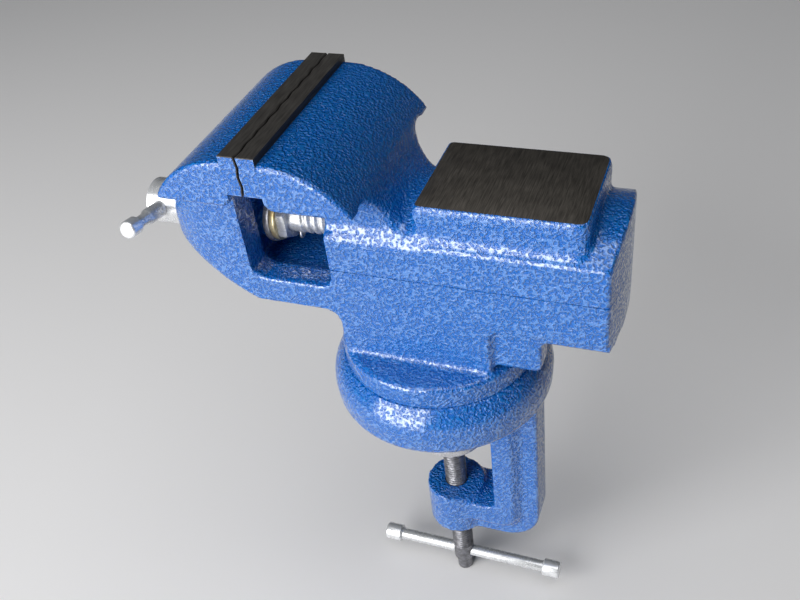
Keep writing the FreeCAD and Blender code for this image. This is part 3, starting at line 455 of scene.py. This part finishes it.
def join(shape, other):
    """Adds another bmesh to a shape, without welding them."""
    mesh = bpy.data.meshes.new("other")
    other.to_mesh(mesh)
    other.free()
    shape.from_mesh(mesh)
    bpy.data.meshes.remove(mesh)


grinding = grinding_group()
ground_iron = ground_iron_material()
jaw = merged_copy("sliding_jaw")
tongue = jaw.copy()
bmesh.ops.bisect_plane(tongue, geom=tongue.verts[:] + tongue.edges[:] + tongue.faces[:], dist=CUT_WELD,
                       plane_co=(0, 0, SEAM), plane_no=(0, 0, 1), clear_outer=True)
leave_stock(jaw, Z, -1, SEAM)
leave_stock(jaw, X, -1, rear_seat)
leave_stock(jaw, Z, 1, anvil_top)
jaw_skin = sand_cast(jaw, passes=2)
for blending in range(BLENDING_PASSES):
    saddle = [vert for vert in jaw_skin.verts if in_saddle(vert.co)]
    bmesh.ops.smooth_vert(jaw_skin, verts=saddle, factor=0.5, use_axis_x=True, use_axis_y=True,
                          use_axis_z=True)
mill(jaw_skin, X, -1, rear_seat, PLATE_SEAT_RIM, below_the_jaws)
mill(jaw_skin, Z, 1, anvil_top, ANVIL_RIM, ahead_of_the_anvil, GROUND)
under_rim = mill(jaw_skin, Z, -1, SEAM, SEAM_RIM)
join(jaw_skin, tongue)
smooth_faces(jaw_skin, 50, under_rim)
add_piece("sliding_jaw_casting", jaw_skin, "slider", [enamel, ground_iron], ["sliding_jaw"])


# Jaw plates. Two ground steel plates whose serrated faces mesh, screwed to the milled seats.
# The enamel runs over their two ends, and their top edges are left bare.

PLATE_CHAMFER = 0.20 * MM
ON_SEAT = 0.05 * MM
ENAMELLED_END = 1


def plate_material():
    """Dark ground steel with a fine grain along the plate."""
    material, metal = new_material("jaw_plate_steel")
    tree = material.node_tree
    ground = place_group(tree, grinding, {"Marks to the metre": 2200, "Stretch": (1, 0.08, 1)})
    marks = ground.outputs["Marks"]
    add_tone(tree, metal, marks, dark=(0.045, 0.041, 0.038, 1), dark_up_to=0.3,
             light=(0.105, 0.098, 0.090, 1), light_from=0.7)
    add_relief(tree, metal, marks, strength=0.4, depth=0.03 * MM)
    metal.inputs["Metallic"].default_value = 0.5
    metal.inputs["Roughness"].default_value = 0.5
    return material


plate_steel = plate_material()
for plate, body, seat in (("front_jaw_plate", "turret", front_seat), ("rear_jaw_plate", "slider", rear_seat)):
    toothed = merged_copy(plate)
    bmesh.ops.dissolve_limit(toothed, angle_limit=math.radians(1), verts=toothed.verts, edges=toothed.edges)
    corners = []
    for edge in toothed.edges:
        middle = (edge.verts[0].co + edge.verts[1].co) / 2
        if edge.calc_face_angle(0) > math.radians(20) and abs(middle.x - seat) > ON_SEAT:
            corners.append(edge)
    bmesh.ops.bevel(toothed, geom=corners, offset=PLATE_CHAMFER, segments=1, profile=0.5, affect="EDGES",
                    material=-1)
    for face in toothed.faces:
        if abs(face.normal.y) > 0.9:
            face.material_index = ENAMELLED_END
    add_piece(plate + "_ground", toothed, body, [plate_steel, enamel], [plate])


# Main screw. Turned and rolled from one bar, zinc plated bright, its head drilled across for the handle.
# Its shank runs plain through the nose and the nut to the split pin, and its rounded thread runs on into the
# sliding jaw. Stations and radii of turned pieces are in plain millimetres, other lengths in metres.

ALONG_X = Vector((1, 0, 0))
ALONG_Z = Vector((0, 0, 1))
TURNED_WELD = 0.003 * MM
SCREW_RISE = 3.1 * MM
SCREW_RADIUS = 4.7
HEAD_LENGTH = 13.2
HEAD_RADIUS = 7.1
HEAD_CHAMFER = 0.9
END_CHAMFER = 1.2
THREAD_PITCH = 2.5
THREAD_DEPTH = 0.8
RING_STEP = THREAD_PITCH / 10
THREAD_PAST_PIN = 1.6
BAR_HOLE_RADIUS = 2.56 * MM
PIN_HOLE_RADIUS = 0.9 * MM
BAR_TILT = math.radians(12)
screw_low, screw_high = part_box("main_screw")
screw_axis = Vector((0, 0, SEAM + SCREW_RISE))
bar_way = Vector((0, -math.cos(BAR_TILT), math.sin(BAR_TILT)))
bar_hole = Vector((-87.1 * MM, 0, screw_axis.z))
pin_low, pin_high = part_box("split_pin")
pin_hole = Vector(((pin_low.x + pin_high.x) / 2, 0, screw_axis.z))


def turned(profile, axis, centre, facets):
    """Turns a profile of stations and radii, in millimetres, once round an axis."""
    shape = bmesh.new()
    side = axis.orthogonal().normalized()
    verts = []
    for station, radius in profile:
        verts.append(shape.verts.new(centre + axis * station * MM + side * radius * MM))
    for before, after in zip(verts, verts[1:]):
        shape.edges.new((before, after))
    bmesh.ops.spin(shape, geom=shape.verts[:] + shape.edges[:], cent=centre, axis=axis, angle=2 * math.pi,
                   steps=facets, use_merge=True)
    bmesh.ops.remove_doubles(shape, verts=shape.verts, dist=TURNED_WELD)
    bmesh.ops.recalc_face_normals(shape, faces=shape.faces)
    return shape


def close_rings(start, end, step, radius):
    """Rings along a rod, close enough for a thread to be rolled into it."""
    rings = []
    station = start
    while station < end:
        station += step
        rings.append((station, radius))
    return rings


def roll_thread(shape, axis, centre, low, high, pitch, depth):
    """Rolls a rounded right-hand thread into a plain rod between two stations, in millimetres."""
    across_one, across_two = (axis + 1) % 3, (axis + 2) % 3
    for vert in shape.verts:
        arm = vert.co - centre
        station = arm[axis] / MM
        arm[axis] = 0
        if low < station < high and arm.length > depth * MM:
            turn = math.atan2(arm[across_two], arm[across_one]) / (2 * math.pi)
            valley = (0.5 + 0.5 * math.cos(2 * math.pi * (station / pitch - turn))) ** 2
            run_out = min(1, (station - low) / pitch, (high - station) / pitch)
            vert.co -= arm.normalized() * depth * MM * valley * run_out


def drill(shape, middle, way, reach, radius):
    """Drills a straight hole through a point, as far as a reach on both sides of it."""
    place = Matrix.Translation(middle) @ way.to_track_quat("Z", "Y").to_matrix().to_4x4()
    bit_shape = bmesh.new()
    bmesh.ops.create_cone(bit_shape, cap_ends=True, segments=40, radius1=radius, radius2=radius,
                          depth=2 * reach, matrix=place)
    bit = set_down("bit", bit_shape)
    blank = set_down("blank", shape)
    hole = blank.modifiers.new("Hole", "BOOLEAN")
    hole.operation = "DIFFERENCE"
    hole.solver = "EXACT"
    hole.object = bit
    drilled = taken_up(blank)
    bpy.data.objects.remove(bit)
    return drilled


def clouded_metal_group():
    """Metal clouded by its plating or by handling: a tone, a gloss and a faint relief that go together."""
    group, given, result = new_group(
        "Clouded metal",
        {"Dark": "NodeSocketColor", "Light": "NodeSocketColor", "Gloss": "NodeSocketFloat",
         "Dull": "NodeSocketFloat"},
        {"Colour": "NodeSocketColor", "Roughness": "NodeSocketFloat", "Height": "NodeSocketFloat"})
    place = group.nodes.new("ShaderNodeTexCoord")
    cloud = noise(group, place.outputs["Object"], scale=520, detail=4).outputs["Fac"]
    light = group.nodes.new("ShaderNodeMapRange")
    light.inputs["From Min"].default_value = 0.32
    light.inputs["From Max"].default_value = 0.66
    group.links.new(cloud, light.inputs["Value"])
    colour = blend_colours(group, light.outputs["Result"], given.outputs["Dark"], given.outputs["Light"])
    rough = group.nodes.new("ShaderNodeMapRange")
    rough.inputs["From Min"].default_value = 0.3
    rough.inputs["From Max"].default_value = 0.7
    group.links.new(cloud, rough.inputs["Value"])
    group.links.new(given.outputs["Dull"], rough.inputs["To Min"])
    group.links.new(given.outputs["Gloss"], rough.inputs["To Max"])
    group.links.new(colour, result.inputs["Colour"])
    group.links.new(rough.outputs["Result"], result.inputs["Roughness"])
    group.links.new(cloud, result.inputs["Height"])
    return group


def clouded_material(name, dark, light, gloss, dull):
    """Plated steel, oiled steel or brass, clouded between two tones and two roughnesses."""
    material, metal = new_material(name)
    tree = material.node_tree
    cloud = place_group(tree, clouded_metal, {"Dark": dark, "Light": light, "Gloss": gloss, "Dull": dull})
    tree.links.new(cloud.outputs["Colour"], metal.inputs["Base Color"])
    tree.links.new(cloud.outputs["Roughness"], metal.inputs["Roughness"])
    add_relief(tree, metal, cloud.outputs["Height"], strength=0.25, depth=0.03 * MM)
    metal.inputs["Metallic"].default_value = 0.6
    return material


clouded_metal = clouded_metal_group()
zinc = clouded_material("bright_zinc", (0.56, 0.57, 0.58, 1), (0.84, 0.85, 0.86, 1), gloss=0.18, dull=0.34)
head_start = screw_low.x / MM
head_end = head_start + HEAD_LENGTH
thread_start = pin_hole.x / MM + THREAD_PAST_PIN
screw_end = screw_high.x / MM
screw_profile = [(head_start, 0), (head_start, 6.0), (head_start + HEAD_CHAMFER, HEAD_RADIUS),
                 (head_end - HEAD_CHAMFER, HEAD_RADIUS), (head_end, 6.3), (head_end, SCREW_RADIUS),
                 (thread_start, SCREW_RADIUS)]
screw_profile += close_rings(thread_start, screw_end - END_CHAMFER, RING_STEP, SCREW_RADIUS)
screw_profile += [(screw_end, 3.7), (screw_end, 0)]
screw = turned(screw_profile, ALONG_X, screw_axis, facets=48)
roll_thread(screw, X, screw_axis, thread_start, screw_end + 2, THREAD_PITCH, THREAD_DEPTH)
screw = drill(screw, bar_hole, bar_way, reach=9 * MM, radius=BAR_HOLE_RADIUS)
screw = drill(screw, pin_hole, ALONG_Z, reach=6 * MM, radius=PIN_HOLE_RADIUS)
smooth_faces(screw, 40)
add_piece("threaded_spindle", screw, "spindle", [zinc], ["main_screw"])


# Washers, nut and split pin. A steel washer lies between the screw's head and the nose, and in the window a
# steel and a brass washer lie between the nose and the hexagon nut. A split pin of half-round wire through
# the screw keeps the nut from turning off.

STEEL_BORE = SCREW_RADIUS + 0.06
BRASS_BORE = SCREW_RADIUS
PIN_WIRE_RADIUS = 0.45 * MM
LEG_APART = 0.42


def round_edges(shape, width, segments):
    """Rounds every crisp edge, as a file or a tumbler does."""
    crisp = [edge for edge in shape.edges if edge.calc_face_angle(0) > math.radians(28)]
    bmesh.ops.bevel(shape, geom=crisp, offset=width, segments=segments, profile=0.5, affect="EDGES",
                    material=-1, clamp_overlap=True)


def washer(node, bore):
    """Stamped ring on the screw's axis with its rims rounded, as large as its CAD node."""
    low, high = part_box(node)
    outer = (high.y - low.y) / 2 / MM
    face, back = low.x / MM, high.x / MM
    ring = [(face, bore), (face, outer), (back, outer), (back, bore), (face, bore)]
    shape = turned(ring, ALONG_X, screw_axis, facets=64)
    round_edges(shape, width=0.25 * MM, segments=2)
    smooth_faces(shape, 40)
    return shape


def bent_wire(bends):
    """Round wire that follows a line of places across and above the screw's axis, in millimetres."""
    curve = bpy.data.curves.new("pin_wire", "CURVE")
    curve.dimensions = "3D"
    curve.bevel_depth = PIN_WIRE_RADIUS
    curve.bevel_resolution = 4
    curve.resolution_u = 10
    curve.use_fill_caps = True
    wire = curve.splines.new("NURBS")
    wire.points.add(len(bends) - 1)
    for point, (across, level) in zip(wire.points, bends):
        point.co = (pin_hole.x, across * MM, screw_axis.z + level * MM, 1)
    wire.order_u = 3
    wire.use_endpoint_u = True
    holder = bpy.data.objects.new("pin_wire", curve)
    bpy.context.scene.collection.objects.link(holder)
    shape = taken_up(holder)
    bmesh.ops.remove_doubles(shape, verts=shape.verts, dist=TURNED_WELD)
    bmesh.ops.recalc_face_normals(shape, faces=shape.faces)
    return shape


washer_zinc = clouded_material("washer_zinc", (0.34, 0.34, 0.36, 1), (0.60, 0.60, 0.62, 1), gloss=0.22,
                               dull=0.4)
brass = clouded_material("washer_brass", (0.62, 0.47, 0.22, 1), (0.92, 0.80, 0.50, 1), gloss=0.25, dull=0.42)
nose_ring = washer("nose_washer", STEEL_BORE)
add_piece("nose_ring", nose_ring, "turret", [washer_zinc], ["nose_washer"])
thrust_ring = washer("thrust_washer", STEEL_BORE)
add_piece("thrust_ring", thrust_ring, "turret", [washer_zinc], ["thrust_washer"])
brass_ring = washer("brass_washer", BRASS_BORE)
add_piece("brass_ring", brass_ring, "spindle", [brass], ["brass_washer"])

nut = merged_copy("retaining_nut")
bmesh.ops.dissolve_limit(nut, angle_limit=math.radians(1), verts=nut.verts, edges=nut.edges)
round_edges(nut, width=0.18 * MM, segments=2)
smooth_faces(nut, 32)
add_piece("hexagon_nut", nut, "spindle", [zinc], ["retaining_nut"])

down_one_leg = [(LEG_APART, 4.6), (LEG_APART, 0.0), (LEG_APART, -4.8), (1.05, -5.9), (1.15, -6.9)]
up_the_other = [(-across, level) for across, level in reversed(down_one_leg)]
bends = [(1.5, 6.9), (0.9, 5.7)] + down_one_leg + [(0.0, -7.7)] + up_the_other + [(-0.9, 5.6), (-1.3, 6.6)]
pin = bent_wire(bends)
smooth_faces(pin, 50)
add_piece("split_pin_wire", pin, "spindle", [zinc], ["split_pin"])


# Screw handle. A sliding bar through the screw's head, turned down near both ends, under two pressed caps.
# It is plated as the screw is, and the caps keep it from dropping out.

BAR_RADIUS = 2.5
BAR_NECK_RADIUS = 1.8
HALF_BAR = 26.0
NECK_START = 18.4
CAP_LENGTH = 4.8
CAP_RADIUS = 2.8
BAR_PUSHED = 3.2 * MM
bar_centre = bar_hole - bar_way * BAR_PUSHED


def capped_ends(way, centre, half_bar, bar_radius, length, radius):
    """Both caps of a bar as one piece: each open towards the bar and rounded over its far end."""
    tip = half_bar + bar_radius
    base = tip - length
    outline = [(half_bar, 0), (half_bar, bar_radius), (base, bar_radius), (base, radius - 0.3),
               (base + 0.3, radius), (tip - 0.8, radius), (tip - 0.45, radius - 0.08),
               (tip - 0.17, radius - 0.33), (tip - 0.03, radius - 0.8), (tip, 0)]
    both = bmesh.new()
    for side in (-1, 1):
        cap = turned([(station * side, height) for station, height in outline], way, centre, facets=48)
        smooth_faces(cap, 40)
        join(both, cap)
    return both


bar_profile = [(-HALF_BAR, 0), (-HALF_BAR, BAR_NECK_RADIUS), (-NECK_START, BAR_NECK_RADIUS), (-17.4, 2.3),
               (-16.7, BAR_RADIUS), (16.7, BAR_RADIUS), (17.4, 2.3), (NECK_START, BAR_NECK_RADIUS),
               (HALF_BAR, BAR_NECK_RADIUS), (HALF_BAR, 0)]
bar = turned(bar_profile, bar_way, bar_centre, facets=40)
round_edges(bar, width=0.15 * MM, segments=2)
smooth_faces(bar, 40)
add_piece("handle_bar", bar, "main_bar", [zinc], ["main_tommy_bar"])

cap_zinc = clouded_material("cap_zinc", (0.74, 0.75, 0.76, 1), (0.92, 0.93, 0.94, 1), gloss=0.16, dull=0.3)
main_caps = capped_ends(bar_way, bar_centre, HALF_BAR, BAR_NECK_RADIUS, CAP_LENGTH, CAP_RADIUS)
add_piece("handle_caps", main_caps, "main_bar", [cap_zinc], ["main_bar_caps"])


# Table clamp. A screw through the bow's boss, with a swivelling pad above and a sliding bar below.
# The screw is dark with oil, and the bar and its caps are zinc plated. The pad is turned from plain steel and
# swivels on the screw's upper end.

CLAMP_AXIS = Vector((0, 0, 0))
CLAMP_RADIUS = 3.9
CLAMP_PITCH = 1.25
CLAMP_THREAD_DEPTH = 0.5
CLAMP_RING_STEP = 0.16
CLAMP_THREAD_LOW = -91.0
CLAMP_THREAD_HIGH = -32.6
RINGS_LOW = -98.2
RINGS_HIGH = -33.2
TIP_END = -105.6
TIP_TOP = -98.6
TIP_RADIUS = 2.9
PAD_UNDERSIDE = -32.5
SPIGOT_RADIUS = 3.1
SPIGOT_TOP = -25.9
SOCKET_RADIUS = 3.16
HUB_RADIUS = 6.5
PLATE_UNDERSIDE = -27.5
PAD_RADIUS = 12.0
PAD_TOP = -24.0
GROOVE_FLOOR = -24.25
CLAMP_BAR_RADIUS = 2.2
CLAMP_BAR_HOLE = 2.26 * MM
CLAMP_BAR_PUSHED = 3.0 * MM
HALF_CLAMP_BAR = 33.0
KNOB_LENGTH = 6.4
KNOB_RADIUS = 3.25
clamp_hole = Vector((0, 0, -95.2 * MM))
clamp_bar_centre = Vector((CLAMP_BAR_PUSHED, 0, clamp_hole.z))

oiled = clouded_material("oiled_steel", (0.10, 0.10, 0.11, 1), (0.26, 0.26, 0.28, 1), gloss=0.26, dull=0.44)
clamp_profile = [(TIP_END, 0), (TIP_END, 2.1), (-104.9, TIP_RADIUS), (TIP_TOP, TIP_RADIUS),
                 (RINGS_LOW, CLAMP_RADIUS)]
clamp_profile += close_rings(RINGS_LOW, RINGS_HIGH, CLAMP_RING_STEP, CLAMP_RADIUS)
clamp_profile += [(PAD_UNDERSIDE, 3.4), (PAD_UNDERSIDE, SPIGOT_RADIUS), (SPIGOT_TOP, SPIGOT_RADIUS),
                  (SPIGOT_TOP, 0)]
clamp = turned(clamp_profile, ALONG_Z, CLAMP_AXIS, facets=40)
roll_thread(clamp, Z, CLAMP_AXIS, CLAMP_THREAD_LOW, CLAMP_THREAD_HIGH, CLAMP_PITCH, CLAMP_THREAD_DEPTH)
clamp = drill(clamp, clamp_hole, ALONG_X, reach=6 * MM, radius=CLAMP_BAR_HOLE)
smooth_faces(clamp, 40)
add_piece("clamp_spindle_rod", clamp, "clamp_spindle", [oiled], ["clamp_screw"])

clamp_bar_profile = [(-HALF_CLAMP_BAR, 0), (-HALF_CLAMP_BAR, CLAMP_BAR_RADIUS),
                     (HALF_CLAMP_BAR, CLAMP_BAR_RADIUS), (HALF_CLAMP_BAR, 0)]
clamp_bar = turned(clamp_bar_profile, ALONG_X, clamp_bar_centre, facets=40)
round_edges(clamp_bar, width=0.15 * MM, segments=2)
smooth_faces(clamp_bar, 40)
add_piece("clamp_bar_rod", clamp_bar, "clamp_bar", [zinc], ["clamp_tommy_bar"])
knobs = capped_ends(ALONG_X, clamp_bar_centre, HALF_CLAMP_BAR, CLAMP_BAR_RADIUS, KNOB_LENGTH, KNOB_RADIUS)
add_piece("clamp_bar_knobs", knobs, "clamp_bar", [cap_zinc], ["clamp_bar_caps"])

pad_profile = [(SPIGOT_TOP, 0), (SPIGOT_TOP, SOCKET_RADIUS), (PAD_UNDERSIDE, SOCKET_RADIUS),
               (PAD_UNDERSIDE, 6.0), (-32.0, HUB_RADIUS), (-28.0, HUB_RADIUS), (PLATE_UNDERSIDE, HUB_RADIUS),
               (PLATE_UNDERSIDE, 11.2), (-26.9, PAD_RADIUS), (-24.6, PAD_RADIUS), (PAD_TOP, 11.4),
               (PAD_TOP, 9.0), (GROOVE_FLOOR, 8.6), (GROOVE_FLOOR, 6.4), (PAD_TOP, 6.0), (PAD_TOP, 0)]
pad = turned(pad_profile, ALONG_Z, CLAMP_AXIS, facets=64)
round_edges(pad, width=0.15 * MM, segments=1)
smooth_faces(pad, 40)
add_piece("pressure_pad_turned", pad, "pad", [washer_zinc], ["pressure_pad"])


# Parts hidden inside or below. Pivot bolt, washer and nut, keeper plate with its screws, the threaded bush
# and the jaw plates' screws: plain zinc-plated steel that shows only from below or with the jaws open.

for node in ("front_plate_screws", "rear_plate_screws", "lead_nut", "keeper_plate", "keeper_screws",
             "pivot_bolt", "pivot_washer", "pivot_nut"):
    frame["nodes"][node].data.materials.clear()
    frame["nodes"][node].data.materials.append(washer_zinc)


# Floor, light and camera. A plain pale floor, a big soft window on the near side, a soft light overhead and a
# faint sky. The camera sees the vise from above its near right corner, a little turned about its own axis.

FLOOR_HALF_WIDTH = 3


def soft_lamp(name, azimuth, elevation, distance, width, height, watts):
    """Area lamp aimed at the vise from a compass angle and a height."""
    lamp = bpy.data.lights.new(name, "AREA")
    lamp.shape = "RECTANGLE"
    lamp.size = width
    lamp.size_y = height
    lamp.energy = watts
    holder = bpy.data.objects.new(name, lamp)
    bpy.context.scene.collection.objects.link(holder)
    turn = math.radians(azimuth)
    rise = math.radians(elevation)
    away = Vector((math.cos(rise) * math.cos(turn), math.cos(rise) * math.sin(turn), math.sin(rise)))
    holder.location = away * distance
    holder.rotation_euler = away.to_track_quat("Z", "Y").to_euler()


floor_material, floor_shader = new_material("pale_floor")
floor_shader.inputs["Base Color"].default_value = (0.86, 0.85, 0.85, 1)
floor_shader.inputs["Roughness"].default_value = 0.8
floor_shape = bmesh.new()
bmesh.ops.create_grid(floor_shape, x_segments=1, y_segments=1, size=FLOOR_HALF_WIDTH)
bmesh.ops.translate(floor_shape, verts=floor_shape.verts, vec=(0, 0, cad_box[0][2]))
floor = set_down("floor", floor_shape)
floor.data.materials.append(floor_material)

soft_lamp("window", azimuth=-116, elevation=16, distance=1.0, width=0.85, height=1.05, watts=16.5)
soft_lamp("ceiling", azimuth=-80, elevation=76, distance=1.5, width=1.6, height=1.2, watts=9.5)

world = bpy.data.worlds.new("studio")
world.use_nodes = True
world.node_tree.nodes["Background"].inputs["Color"].default_value = (0.70, 0.85, 1.0, 1)
world.node_tree.nodes["Background"].inputs["Strength"].default_value = 0.035
bpy.context.scene.world = world

camera_data = bpy.data.cameras.new("camera")
camera_data.lens = 41.566
camera_data.sensor_width = 36
camera_data.clip_start = 0.01
camera = bpy.data.objects.new("camera", camera_data)
bpy.context.scene.collection.objects.link(camera)
camera.location = (82.19 * MM, -201.54 * MM, 213.763 * MM)
camera.rotation_euler = (math.radians(50.215), math.radians(6.250), math.radians(19.979))
bpy.context.scene.camera = camera
bpy.context.scene.view_settings.view_transform = "Standard"
